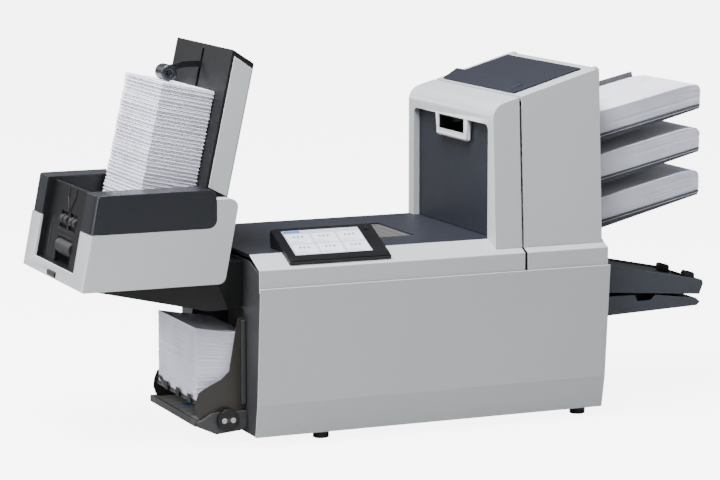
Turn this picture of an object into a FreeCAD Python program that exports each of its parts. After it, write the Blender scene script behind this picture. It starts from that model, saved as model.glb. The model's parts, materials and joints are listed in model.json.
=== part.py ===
"""Table-top folder-inserter: a mailroom machine that folds sheets, adds inserts and fills envelopes.

Layout axes, in millimetres: X runs along the machine from the base's left end, Y runs back from the
front cover, Z is up from the table. The finished pieces are shifted so that the middle of the
machine's footprint box on the table is at zero.
"""
import FreeCAD, Part
import Sketcher
import math
import os
import re

os.makedirs("parts", exist_ok=True)
doc = FreeCAD.newDocument("folder_inserter")
sheet = doc.addObject("Spreadsheet::Sheet", "sizes")

# ---------------------------------------------------------------- driving dimensions
SIZES = {
    # shift of the finished pieces, set once they are all made
    "origin_x": 0, "origin_y": 0,
    # base
    "base_length": 710, "base_depth": 420, "foot_height": 16, "foot_radius": 15, "foot_inset": 62,
    "foot_left": 142, "foot_right": 36, "cover_top": 295, "toe_height": 78, "toe_in": 17, "toe_out": 12,
    "wall": 3,
    "sheet_metal": 2, "deck_height": 351, "fascia_set": 5, "fascia_skirt": 9, "chamfer_foot": 328,
    "chamfer_depth": 50,
    "frame_inset": 40, "panel_strip": 88, "recess_back": 340, "recess_depth": 66, "recess_floor": 30,
    "recess_roof": 246, "slack": 0.5,
    # deck window and touch screen
    "window_length": 182, "window_margin": 106, "window_front": 150, "window_back": 322, "window_sink": 4,
    "tablet_left": 62, "tablet_width": 200, "tablet_length": 108, "tablet_case": 8, "tablet_glass": 1.6,
    "tablet_start": 10, "tablet_gap": 1, "button_radius": 5, "button_inset": 16, "button_travel": 0.5,
    # tower, its door and its lid
    "door_length": 57, "tower_length": 169, "gap_width": 5, "tower_inset": 6, "tower_front": 20,
    "tower_lean": 3.5, "tower_top": 616, "tower_slope": 16, "tower_back": 417, "door_corner": 30,
    "panel_front": 57, "panel_back": 392, "panel_top": 565, "panel_sink": 12,
    "handle_front": 165, "handle_back": 276, "handle_low": 537, "handle_high": 564, "handle_depth": 24,
    "notch_side": 14, "notch_drop": 15,
    "lid_margin": 22, "lid_gap": 6, "lid_front": 78, "lid_back": 392, "lid_thick": 3,
    "lip_width": 34, "lip_rise": 10, "lip_front": 135,
    # sheet feeders
    "tray_rise": 12.8, "tray_pitch": 84, "tray_first": 354, "tray_length": 253, "tray_thick": 8,
    "tray_root": 15, "sheet_width": 210, "stack_height": 42, "stack_inside": 44, "stack_round": 18,
    "guide_height": 52, "guide_thick": 5, "guide_travel": 12, "feed_radius": 12, "shaft_radius": 4,
    "mouth_room": 16, "wall_out": 3,
    # envelope hopper and divert tray
    "hopper_width": 190, "hopper_length": 266, "hopper_slope": 11.4, "hopper_top": 284, "hopper_root": 223,
    "hopper_low": 202, "hopper_rim": 8, "hopper_sink": 5, "divert_top": 212, "divert_flat": 148,
    "divert_fall": 195, "divert_length": 262, "divert_tip": 187, "divert_low": 171, "edge_guide": 23,
    "rear_guide": 224,
    # insert feeder
    "end_lean": 11, "lean": 12.4, "feeder_left": 318, "feeder_width": 360, "feeder_shift": 26,
    "feeder_low": 300,
    "feeder_seam": 402, "feeder_high": 472, "feeder_right": 47, "shoulder": 454, "arm_thick": 62,
    "lip_high": 325, "cap_right": 61, "cap_round": 15, "column_width": 296, "column_thick": 47,
    "column_foot": 71, "column_top": 720, "cap_fall": 27, "insert_width": 210, "insert_length": 104,
    "insert_low": 352, "insert_height": 296, "gate_set": 14, "gate_thick": 6, "drum_radius": 16,
    "drum_height": 354, "drum_length": 84, "follower_radius": 15, "follower_length": 42,
    "follower_reach": 72, "arm_height": 682, "arm_width": 8, "chin_low": 250, "chin_right": 76,
    "chin_inset": 10, "neck_inset": 32, "latch_width": 46,
    # catch tray
    "catch_front": 61, "catch_back": 326, "catch_left": 99, "catch_floor": 36, "catch_thick": 12,
    "plate_front": 77, "plate_thick": 2, "plate_back": 306, "pile_width": 210, "pile_length": 110,
    "pile_left": 92, "pile_low": 81, "pile_top": 216, "lift_thick": 6,
    "knob_radius": 21, "knob_x": -39, "knob_z": 46, "knob_thick": 9,
    # drive
    "fold_radius": 14, "journal_radius": 6, "running_gap": 0.05, "fold_margin": 144, "fold_z": 190,
    "motor_radius": 38, "motor_long": 80, "belt_reach": 130, "motor_z": 120, "pulley_radius": 13,
    "belt_thick": 2, "belt_width": 9,
}

# places worked out once from the driving dimensions
DERIVED = {
    "middle": "base_depth / 2",
    "tower_right": "base_length - tower_inset",
    "gap_middle": "tower_right - tower_length",
    "door_left": "gap_middle - door_length",
    "lid_left": "gap_middle + lid_gap",
    "lid_right": "tower_right - lid_margin",
    "window_right": "door_left - window_margin",
    "window_left": "window_right - window_length",
    "tray_end": "tower_right + tray_length",
    "hopper_end": "base_length + hopper_length",
    "divert_bend": "base_length + divert_flat",
    "divert_end": "base_length + divert_length",
    "fold_x": "tower_right - fold_margin",
    "motor_x": "fold_x - belt_reach",
    "gap_left": "gap_middle - gap_width / 2",
    "gap_right": "gap_middle + gap_width / 2",
    "chamfer_rise": "deck_height - chamfer_foot",
    "chamfer_angle": "atan(chamfer_rise / chamfer_depth)",
    "fascia_back": "fascia_set + chamfer_depth",
    "front_lean": "tan(tower_lean)",
    "roof": "tan(tower_slope)",
    "sheet_front": "middle - sheet_width / 2",
    "sheet_back": "middle + sheet_width / 2",
    "rise": "tan(tray_rise)",
    "feeder_middle": "middle + feeder_shift",
    "feeder_front": "feeder_middle - feeder_width / 2",
    "feeder_back": "feeder_middle + feeder_width / 2",
    "cavity_front": "feeder_front + arm_thick",
    "cavity_back": "feeder_back - arm_thick",
    "end_tan": "tan(end_lean)",
    "lean_tan": "tan(lean)",
    "column_front": "feeder_middle - column_width / 2",
    "column_back": "feeder_middle + column_width / 2",
    "hopper_front": "middle - hopper_width / 2",
    "hopper_back": "middle + hopper_width / 2",
    "fall": "tan(hopper_slope)",
    "frame_back": "base_depth - frame_inset",
    "frame_low": "foot_height + sheet_metal",
    "frame_high": "deck_height - 28",
    "cover_foot": "toe_in + toe_out",
}
ALIASES = set(SIZES) | set(DERIVED)


def ex(text):
    """Turn a formula over bare size names into one that reads them from the sheet."""
    return re.sub(r"[A-Za-z_]\w*", lambda m: "sizes." + m[0] if m[0] in ALIASES else m[0], str(text))


def fill_sheet():
    cells = list(SIZES.items()) + [(alias, "=" + formula) for alias, formula in DERIVED.items()]
    for row, (alias, content) in enumerate(cells, start=1):
        sheet.set(f"A{row}", alias)
        sheet.set(f"B{row}", str(content))
        sheet.setAlias(f"B{row}", alias)
    doc.recompute()


def size(text):
    """The present value of a formula over size names."""
    return float(sheet.evalExpression(ex(text)))


# ---------------------------------------------------------------- construction helpers
PLANES = {"XY": ("XY_Plane", 1), "XZ": ("XZ_Plane", -1), "YZ": ("YZ_Plane", 1)}
nodes = []
pockets = []


def place(item):
    """Shift a finished piece from the layout to the machine's own zero."""
    item.setExpression("Placement.Base.x", ex("-origin_x"))
    item.setExpression("Placement.Base.y", ex("-origin_y"))
    nodes.append(item)
    return item


def piece(name):
    """A new sub-part: a body whose label names its file."""
    body = doc.addObject("PartDesign::Body", name)
    body.Label = name
    body.AllowCompound = True
    return place(body)


def attach(body, plane, start):
    role, sign = PLANES[plane]
    sketch = body.newObject("Sketcher::SketchObject", body.Name + "_sketch")
    plane_object = next(f for f in body.Origin.OriginFeatures if f.Role == role)
    sketch.AttachmentSupport = [(plane_object, "")]
    sketch.MapMode = "FlatFace"
    sketch.setExpression("AttachmentOffset.Base.z", ex(f"({start}) * {sign}"))
    return sketch


def tie_point(sketch, geometry, vertex, point):
    """Tie one vertex of a sketch to its two formulas."""
    for kind, formula in zip(("DistanceX", "DistanceY"), point):
        number = sketch.addConstraint(Sketcher.Constraint(kind, -1, 1, geometry, vertex, size(formula)))
        sketch.setExpression(f"Constraints[{number}]", ex(formula))


def outline(body, plane, points, start):
    """A closed outline of straight runs through the points, each a pair of formulas."""
    sketch = attach(body, plane, start)
    corners = [FreeCAD.Vector(size(u), size(v), 0) for u, v in points]
    count = len(corners)
    for i in range(count):
        sketch.addGeometry(Part.LineSegment(corners[i], corners[(i + 1) % count]), False)
    for i in range(count):
        sketch.addConstraint(Sketcher.Constraint("Coincident", i, 2, (i + 1) % count, 1))
    for i, point in enumerate(points):
        tie_point(sketch, i, 1, point)
    return sketch


def disc(body, plane, centre, radius, start):
    """A circular outline."""
    sketch = attach(body, plane, start)
    hub = FreeCAD.Vector(size(centre[0]), size(centre[1]), 0)
    sketch.addGeometry(Part.Circle(hub, FreeCAD.Vector(0, 0, 1), size(radius)), False)
    tie_point(sketch, 0, 3, centre)
    number = sketch.addConstraint(Sketcher.Constraint("Radius", 0, size(radius)))
    sketch.setExpression(f"Constraints[{number}]", ex(radius))
    return sketch


def extrude(body, sketch, plane, length, cut):
    """Pad or pocket a sketch towards the positive axis of its plane."""
    kind = "PartDesign::Pocket" if cut else "PartDesign::Pad"
    feature = body.newObject(kind, body.Name + ("_cut" if cut else "_pad"))
    feature.Profile = sketch
    feature.setExpression("Length", ex(length))
    feature.Reversed = (PLANES[plane][1] < 0) != cut
    if cut:
        pockets.append(feature)
    return feature


def pad(body, plane, points, start, length):
    return extrude(body, outline(body, plane, points, start), plane, length, False)


def pocket(body, plane, points, start, length):
    return extrude(body, outline(body, plane, points, start), plane, length, True)


def pad_disc(body, plane, centre, radius, start, length):
    return extrude(body, disc(body, plane, centre, radius, start), plane, length, False)


def pocket_disc(body, plane, centre, radius, start, length):
    return extrude(body, disc(body, plane, centre, radius, start), plane, length, True)


def rectangle(low, high):
    """The four corners of an upright rectangle."""
    return [(low[0], low[1]), (high[0], low[1]), (high[0], high[1]), (low[0], high[1])]


def slab(name, x, y, z):
    """A rectangular block between pairs of formulas, as a sub-part of its own."""
    body = piece(name)
    pad(body, "XY", rectangle((x[0], y[0]), (x[1], y[1])), z[0], f"({z[1]}) - ({z[0]})")
    return body


def round_edges(body, radius, *points):
    """Round the straight edges whose ends both lie on lines through the given layout points.

    A point is (x, y, z) of formulas, with None for the axis along which the edge may run."""
    doc.recompute()
    tip = body.Tip
    shift = tip.Shape.Placement.Base
    wanted = [[None if f is None else size(f) for f in point] for point in points]
    found = []
    for index, edge in enumerate(tip.Shape.Edges, start=1):
        ends = [vertex.Point - shift for vertex in edge.Vertexes]
        for target in wanted:
            if len(ends) == 2 and all(t is None or abs(end[k] - t) < 0.05
                                      for end in ends for k, t in enumerate(target)):
                found.append(f"Edge{index}")
    if not found:
        raise RuntimeError(f"{body.Label}: no edge to round at {wanted}")
    fillet = body.newObject("PartDesign::Fillet", body.Name + "_round")
    fillet.Base = (tip, found)
    fillet.setExpression("Radius", ex(radius))
    return fillet


# ---------------------------------------------------------------- slanted lines of the machine
def roof_z(x, above="0"):
    """Height of the tower's sloping roof at x, plus a step square to it."""
    return f"tower_top + (({x}) - gap_middle) * roof + ({above}) / cos(tower_slope)"


def front_y(z, behind="0"):
    """Depth of the tower's leaning front at height z, plus a step back."""
    return f"tower_front + (({z}) - chamfer_foot) * front_lean + ({behind})"


def chamfer_z(y, above="0"):
    """Height of the fascia's slanted top at depth y."""
    return f"chamfer_foot + (({y}) - fascia_set) * chamfer_rise / chamfer_depth + ({above})"


def tray_z(level, x, above="0"):
    """Height of a sheet tray's upper side at x."""
    return f"tray_first + {level} * tray_pitch + (({x}) - tower_right) * rise + ({above}) / cos(tray_rise)"


def column_x(z, across="0"):
    """The insert column's left side at height z, plus a step across."""
    return f"-column_foot + (({z}) - feeder_high) * lean_tan + ({across})"


def left_x(z, inward="0"):
    """The insert feeder's left end at height z."""
    return f"-feeder_left + (({z}) - feeder_low) * end_tan + ({inward})"


def right_x(z):
    """The insert feeder's right end at height z."""
    return f"-feeder_right + (({z}) - feeder_low) * end_tan"


def stack_point(left, up):
    """A point of the leaning insert stack: left of its right side and up from its foot."""
    x = f"({column_x('insert_low')}) - slack - ({left}) * cos(lean) + ({up}) * sin(lean)"
    z = f"insert_low + ({left}) * sin(lean) + ({up}) * cos(lean)"
    return x, z


def tablet_point(along, above):
    """A point of the tilted touch screen: up its slope and square to it."""
    y = f"fascia_set + (tablet_start + ({along})) * cos(chamfer_angle) - ({above}) * sin(chamfer_angle)"
    z = f"chamfer_foot + (tablet_start + ({along})) * sin(chamfer_angle) + ({above}) * cos(chamfer_angle)"
    return y, z


# ---------------------------------------------------------------- base
def make_frame():
    slab("bottom_pan", ("wall", "base_length - wall"), ("cover_foot + wall", "base_depth - wall"),
         ("foot_height", "frame_low"))
    for name, start in (("front_frame", "frame_inset"), ("rear_frame", "frame_back - sheet_metal")):
        body = piece(name)
        pad(body, "XZ", rectangle(("recess_depth + 14", "frame_low"), ("base_length - 16", "frame_high")),
            start, "sheet_metal")
        for step in (0, 1):
            centre = ("fold_x", f"fold_z + {step} * (2 * fold_radius + slack)")
            pocket_disc(body, "XZ", centre, "journal_radius + running_gap", start, "sheet_metal")
    pocket_disc(body, "XZ", ("motor_x", "motor_z"), "journal_radius + 2", "frame_back - sheet_metal",
                "sheet_metal")


def make_covers():
    cover = piece("front_cover")
    outer = [("0", "cover_top"), ("toe_in", "toe_height"), ("cover_foot", "foot_height")]
    inner = [(f"{y} + wall", z) for y, z in reversed(outer)]
    pad(cover, "YZ", outer + inner, "0", "base_length")
    rear = slab("rear_cover", ("0", "base_length"), ("base_depth - wall", "base_depth"),
                ("foot_height", "deck_height - 10"))
    pocket(rear, "XZ", rectangle(("base_length - 120", "60"), ("base_length - 70", "92")),
           "base_depth - wall", "wall")
    inlet = slab("power_inlet", ("base_length - 120", "base_length - 70"),
                 ("base_depth - 24", "base_depth"),
                 ("60", "92"))
    pocket(inlet, "XZ", rectangle(("base_length - 111", "67"), ("base_length - 79", "85")),
           "base_depth - 14", "14")
    end = piece("left_end_panel")
    front = [("fascia_set + wall + slack", "cover_top + 2"),
             ("fascia_set + wall + slack", "cover_top - fascia_skirt - 1"),
             ("wall + 2.5", "cover_top - fascia_skirt - 1"),
             ("toe_in + wall + slack", "toe_height"), ("cover_foot + wall + slack", "foot_height + 4")]
    top = [("base_depth - wall", "foot_height + 4"), ("base_depth - wall", "deck_height - 12"),
           ("fascia_back + 6", "deck_height - 12"), ("fascia_set + wall + slack", "chamfer_foot - 6")]
    pad(end, "YZ", front + top, "0", "wall")
    pad(end, "YZ", rectangle(("panel_strip - wall", "recess_floor - wall"),
                             ("recess_back + wall", "recess_roof + wall")), "0", "recess_depth + wall")
    pocket(end, "YZ", rectangle(("panel_strip", "recess_floor"), ("recess_back", "recess_roof")),
           "0", "recess_depth")
    right = slab("right_end_panel", ("base_length - wall", "base_length"),
                 ("cover_foot + wall + slack", "base_depth - wall"),
                 ("foot_height + 4", "deck_height - 12"))
    pocket(right, "YZ", rectangle(("hopper_front + 12", "hopper_root + 8"),
                                  ("hopper_back - 12", "hopper_top - 14")),
           "base_length - wall", "wall")


def fascia_outline():
    """Bent plate: upright face, slanted top, up to the deck's edge."""
    outer = [("fascia_set", "cover_top - fascia_skirt"), ("fascia_set", "chamfer_foot"),
             ("fascia_back", "deck_height")]
    inner = [("fascia_back", "deck_height - wall"), ("fascia_set + wall", "chamfer_foot - 0.6 * wall"),
             ("fascia_set + wall", "cover_top - fascia_skirt")]
    return outer + inner


def make_fascia_and_feet():
    right = piece("right_fascia")
    pad(right, "YZ", fascia_outline(), "gap_right", "base_length - wall - gap_right")
    floor = [("fascia_back", "deck_height - wall"), ("tower_back", "deck_height - wall"),
             ("tower_back", "deck_height"), ("fascia_back", "deck_height")]
    pad(right, "YZ", floor, "gap_right", "tower_right - stack_inside - 8 - gap_right")
    feet = piece("feet")
    for x in ("foot_left", "base_length - foot_right"):
        for y in ("foot_inset", "base_depth - foot_inset"):
            pad_disc(feet, "XY", (x, y), "foot_radius", "0", "foot_height")


def make_drive():
    for name, step in (("fold_roller_lower", 0), ("fold_roller_upper", 1)):
        centre = ("fold_x", f"fold_z + {step} * (2 * fold_radius + slack)")
        body = piece(name)
        pad_disc(body, "XZ", centre, "journal_radius", "frame_inset - 5", "frame_back - frame_inset + 10")
        pad_disc(body, "XZ", centre, "fold_radius", "frame_inset + sheet_metal + 1",
                 "frame_back - frame_inset - 2 * sheet_metal - 2")
    pad_disc(doc.fold_roller_lower, "XZ", ("fold_x", "fold_z"), "pulley_radius", "frame_back + 2",
             "belt_width + 1")
    motor = piece("drive_motor")
    start = "frame_back - sheet_metal - motor_long"
    pad_disc(motor, "XZ", ("motor_x", "motor_z"), "motor_radius", start, "motor_long")
    pad_disc(motor, "XZ", ("motor_x", "motor_z"), "journal_radius", start, "motor_long + 12 + belt_width")
    pad_disc(motor, "XZ", ("motor_x", "motor_z"), "pulley_radius", "frame_back + 2", "belt_width")
    slab("power_supply", ("base_length - 190", "base_length - 50"), ("base_depth - 125", "base_depth - 48"),
         ("frame_low", "frame_low + 62"))
    board = slab("control_board", ("140", "330"), ("frame_inset + 30", "frame_inset + 32"), ("110", "250"))
    for x in ("150", "210", "275"):
        pad(board, "XZ", rectangle((x, "130"), (f"{x} + 36", "190")), "frame_inset + 32", "14")


# ---------------------------------------------------------------- deck cover and touch screen
def make_deck():
    deck = slab("deck_plate", ("0", "gap_left"), ("fascia_back + slack", "base_depth"),
                ("deck_height - wall - window_sink", "deck_height"))
    pocket(deck, "XY", rectangle(("wall", "fascia_back + 8"), ("window_left - wall", "base_depth - wall")),
           "deck_height - wall - window_sink", "window_sink")
    pocket(deck, "XY", rectangle(("window_right + wall", "fascia_back + 8"),
                                 ("gap_left - wall", "base_depth - wall")),
           "deck_height - wall - window_sink", "window_sink")
    pocket(deck, "XY", rectangle(("window_left", "window_front"), ("window_right", "window_back")),
           "deck_height - window_sink", "window_sink")
    fascia = piece("deck_fascia")
    pad(fascia, "YZ", fascia_outline(), "0", "gap_left")
    case = piece("tablet_case")
    corners = [tablet_point(*p) for p in (("0", "tablet_gap"), ("0", "tablet_case"),
                                          ("tablet_length", "tablet_case"), ("tablet_length", "-2"))]
    wedge = [("fascia_set + tablet_start + tablet_length - 14", "deck_height"),
             ("fascia_back", "deck_height")]
    foot = [tablet_point("34", "0"), tablet_point("30", "tablet_gap")]
    pad(case, "YZ", corners + wedge + foot, "tablet_left", "tablet_width")
    glass = piece("tablet_glass")
    sheet_edge = [tablet_point(*p) for p in (("1", "tablet_case"), ("1", "tablet_case + tablet_glass"),
                                             ("tablet_length - 1", "tablet_case + tablet_glass"),
                                             ("tablet_length - 1", "tablet_case"))]
    pad(glass, "YZ", sheet_edge, "tablet_left + 1", "tablet_width - 2")


# ---------------------------------------------------------------- tower
def tower_outline(inset="0", top="tower_top + 60"):
    """Side view of the tower: it stands on the slanted fascia and the deck, and its front leans back."""
    foot_y = f"{front_y('chamfer_foot')} + ({inset})"
    return [(foot_y, chamfer_z(foot_y, "slack")), ("fascia_back", "deck_height + slack"),
            (f"tower_back - ({inset})", "deck_height + slack"), (f"tower_back - ({inset})", top),
            (front_y(top, inset), top)]


def cut_roof(body, left, right):
    """Take off what stands above the sloping roof."""
    over = [(f"{left} - 5", roof_z(f"{left} - 5")), (f"{right} + 5", roof_z(f"{right} + 5")),
            (f"{right} + 5", "tower_top + 90"), (f"{left} - 5", "tower_top + 90")]
    pocket(body, "XZ", over, "0", "base_depth")


def make_tower():
    shell = piece("tower_shell")
    shell_right = "tower_right - wall"
    pad(shell, "YZ", tower_outline(), "gap_right", f"{shell_right} - gap_right")
    cut_roof(shell, "gap_right", shell_right)
    inside = tower_outline("wall", "tower_top - wall")
    inside[0] = (f"{inside[0][0]}", f"{inside[0][1]} - 20")
    inside[1] = ("fascia_back", "deck_height - 20")
    inside[2] = ("tower_back - wall", "deck_height - 20")
    pocket(shell, "YZ", inside, "gap_right", f"{shell_right} - gap_right")
    attic_front = front_y("tower_top + 50", "wall")
    attic = [("gap_right", "tower_top - wall - 1"), (shell_right, "tower_top - wall - 1"),
             (shell_right, roof_z(shell_right, "-wall")), ("gap_right", roof_z("gap_right", "-wall"))]
    pocket(shell, "XZ", attic, attic_front, f"tower_back - wall - ({attic_front})")
    pocket(shell, "XY", rectangle(("lid_left + 10", "lid_front + 10"), ("lid_right - 10", "lid_back - 10")),
           "tower_top - 20", "100")
    lid = piece("top_lid")
    low, high = roof_z("lid_left", "slack"), roof_z("lid_right", "slack")
    plate = [("lid_left", low), ("lid_right", high), ("lid_right", f"{high} + lid_thick"),
             ("lid_left", f"{low} + lid_thick")]
    pad(lid, "XZ", plate, "lid_front", "lid_back - lid_front")
    ridge_x = "lid_left + lip_width"
    ridge = [("lid_left", f"{low} + lid_thick"), (ridge_x, f"{roof_z(ridge_x, 'slack')} + lid_thick"),
             (ridge_x, f"{roof_z(ridge_x, 'slack')} + lid_thick + lip_rise - 3"),
             (f"{ridge_x} - 5", f"{roof_z(ridge_x, 'slack')} + lid_thick + lip_rise - 2")]
    pad(lid, "XZ", ridge, "lip_front", "lid_back - lip_front")


def make_door():
    shell = piece("door_shell")
    pad(shell, "YZ", tower_outline(), "door_left", "gap_left - door_left")
    cut_roof(shell, "door_left", "gap_left")
    round_edges(shell, "door_corner", ("door_left", None, roof_z("door_left")))
    ceiling = f"{roof_z('door_left')} - 0.5 * door_corner"
    inside = tower_outline("wall", ceiling)
    inside[0] = (inside[0][0], f"{inside[0][1]} - 20")
    inside[1] = ("fascia_back", "deck_height - 20")
    inside[2] = ("tower_back - wall", "deck_height - 20")
    pocket(shell, "YZ", inside, "door_left + panel_sink", "gap_left - door_left - panel_sink")
    window = [("panel_front", "deck_height - 5"), ("panel_back", "deck_height - 5"),
              ("panel_back", "panel_top"),
              ("handle_back + notch_side", "panel_top"),
              ("handle_back + notch_side", "handle_low - notch_drop"),
              ("handle_front - notch_side", "handle_low - notch_drop"),
              ("handle_front - notch_side", "panel_top"),
              ("panel_front", "panel_top")]
    pocket(shell, "YZ", window, "door_left", "panel_sink")
    pocket(shell, "YZ", rectangle(("handle_front", "handle_low"), ("handle_back", "handle_high")),
           "door_left", "panel_sink")
    slab("door_panel", ("door_left + panel_sink", "door_left + panel_sink + wall"),
         ("panel_front - 8", "panel_back + 8"),
         ("deck_height + 1", "panel_top + 6"))
    pocket(doc.door_panel, "YZ",
           rectangle(("handle_front - 2", "handle_low - 2"), ("handle_back + 2", "handle_high + 2")),
           "door_left", "40")
    cup = slab("door_handle", ("door_left + 1", "door_left + handle_depth"),
               ("handle_front + slack", "handle_back - slack"),
               ("handle_low + slack", "handle_high - slack"))
    pocket(cup, "YZ", rectangle(("handle_front + 2", "handle_low + 2"),
                                ("handle_back - 2", "handle_high - 2")),
           "door_left", "handle_depth - 2")


# ---------------------------------------------------------------- sheet feeders
def make_feed_wall():
    wall = slab("feed_wall", ("tower_right - wall + slack", "tower_right + wall_out"),
                ("tower_front + 30", "tower_back - 12"),
                ("deck_height + slack", f"{roof_z('tower_right')} - 10"))
    for level in range(3):
        mouth = rectangle(("sheet_front - 4", tray_z(level, "tower_right", "-3")),
                          ("sheet_back + 22", tray_z(level, "tower_right", "stack_height + mouth_room")))
        pocket(wall, "YZ", mouth, "tower_right - 10", "20")
    cheeks = piece("feed_cheeks")
    side = rectangle(("tower_right - 100", "deck_height + slack"), ("tower_right - wall", "tower_top - 12"))
    for start in ("sheet_front - 16", "sheet_back + 24"):
        pad(cheeks, "XZ", side, start, "sheet_metal")
    pad(cheeks, "XZ", rectangle(("tower_right - 100", "deck_height + slack"),
                                ("tower_right - 60", "deck_height + 4")),
        "sheet_front - 16", "sheet_width + 40")
    for level in range(3):
        x, z = roller_place(level)
        pocket_disc(cheeks, "XZ", (x, z), "shaft_radius + running_gap", "sheet_front - 17",
                    "sheet_width + 50")


def roller_place(level):
    """Feed roller axis, just above the leading edge of a tray's sheets."""
    x = "tower_right - stack_inside + 14"
    return x, tray_z(level, x, "stack_height + feed_radius + slack")


def make_sheet_feeders():
    for level in range(3):
        number = level + 1
        root = "tower_right + wall_out"
        tray = piece(f"sheet_tray_{number}")
        side = [(root, tray_z(level, root)), ("tray_end", tray_z(level, "tray_end")),
                ("tray_end - 3", tray_z(level, "tray_end - 3", "-tray_thick")),
                (root, tray_z(level, root, "-tray_root"))]
        pad(tray, "XZ", side, "sheet_front - 3", "sheet_width + guide_thick + guide_travel + 8")
        stack = piece(f"paper_stack_{number}")
        start, end = "tower_right - stack_inside", "tray_end + 3"
        sheets = [(start, tray_z(level, start)), (end, tray_z(level, end)),
                  (f"{end} - 8", tray_z(level, f"{end} - 8", "stack_height")),
                  (start, tray_z(level, start, "stack_height"))]
        pad(stack, "XZ", sheets, "sheet_front", "sheet_width")
        round_edges(stack, "stack_round", (f"{end} - 8", None, tray_z(level, f"{end} - 8", "stack_height")))
        guide = piece(f"tray_guide_{number}")
        start, end = f"{root} + 6", "tray_end - 22"
        plate = [(start, tray_z(level, start, "slack")), (end, tray_z(level, end, "slack")),
                 (f"{end} - 14", tray_z(level, f"{end} - 14", "guide_height")),
                 (start, tray_z(level, start, "guide_height"))]
        pad(guide, "XZ", plate, "sheet_back + slack", "guide_thick")
        roller = piece(f"feed_roller_{number}")
        centre = roller_place(level)
        pad_disc(roller, "XZ", centre, "shaft_radius", "sheet_front - 19", "sheet_width + 49")
        pad_disc(roller, "XZ", centre, "feed_radius", "middle - 40", "80")


# ---------------------------------------------------------------- envelope hopper and divert tray
def hopper_z(x, above="0"):
    return f"hopper_top - (({x}) - base_length) * fall + ({above})"


def make_hopper():
    body = piece("hopper_body")
    side = [("base_length", "hopper_top"), ("hopper_end", hopper_z("hopper_end")),
            ("hopper_end + 2", hopper_z("hopper_end", "-8")), ("hopper_end - 6", "hopper_low"),
            ("base_length", "hopper_root")]
    pad(body, "XZ", side, "hopper_front", "hopper_width")
    well = [("base_length", hopper_z("base_length", "-hopper_sink")),
            ("hopper_end - 5", hopper_z("hopper_end - 5", "-hopper_sink")),
            ("hopper_end - 5", hopper_z("hopper_end - 5", "20")),
            ("base_length", hopper_z("base_length", "20"))]
    pocket(body, "XZ", well, "hopper_front + hopper_rim", "hopper_width - 2 * hopper_rim")
    under = [("base_length + wall", hopper_z("base_length", "-hopper_sink - wall - 2")),
             ("hopper_end - 12", hopper_z("hopper_end - 12", "-hopper_sink - wall")),
             ("hopper_end - 12", "hopper_low - 20"), ("base_length + wall", "hopper_low - 20")]
    pocket(body, "XZ", under, "hopper_front + wall", "hopper_width - 2 * wall")
    for name, y in (("hopper_guide_front", "hopper_front + hopper_rim + slack"),
                    ("hopper_guide_rear", "rear_guide")):
        guide = piece(name)
        left = "hopper_end - 36"
        right = f"{left} + edge_guide"
        block = [(left, hopper_z(left, "slack - hopper_sink")),
                 (right, hopper_z(right, "slack - hopper_sink")),
                 (right, hopper_z(right, "11")), (left, hopper_z(left, "13"))]
        pad(guide, "XZ", block, y, "16")
        round_edges(guide, "5", (right, None, hopper_z(right, "11")), (left, None, hopper_z(left, "13")))
    tray = piece("divert_tray")
    side = [("base_length + slack", "divert_top"), ("divert_bend", "divert_top - 3"),
            ("divert_end - 9", "divert_fall"),
            ("divert_end", "divert_tip"), ("divert_end - 8", "divert_tip - 7"),
            ("base_length + slack", "divert_low")]
    pad(tray, "XZ", side, "hopper_front", "hopper_width")
    well = [("base_length + 8", "divert_low + 8"), ("divert_end - 40", "divert_tip - 2"),
            ("divert_end - 40", "divert_top + 20"), ("base_length + 8", "divert_top + 20")]
    pocket(tray, "XZ", well, "hopper_front + wall", "hopper_width - 2 * wall")
    scoop = [("divert_bend - 36", "divert_top + 9"), ("divert_bend - 26", "divert_fall + 2"),
             ("divert_bend + 4", "divert_fall + 3"), ("divert_bend + 30", "divert_top + 9")]
    pocket(tray, "XZ", scoop, "hopper_front", "wall")


# ---------------------------------------------------------------- insert feeder
def column_outline(low, high, grow="0", shrink_left="0"):
    """The leaning column between two heights of its left side, with a cap that falls to the right."""
    return [(column_x(low, f"-({grow}) + ({shrink_left})"), low),
            (column_x(low, f"column_thick + ({grow})"), low),
            (column_x(f"{high} - cap_fall", f"column_thick + ({grow})"), f"{high} - cap_fall"),
            (column_x(high, f"-({grow}) + ({shrink_left})"), high)]


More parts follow.
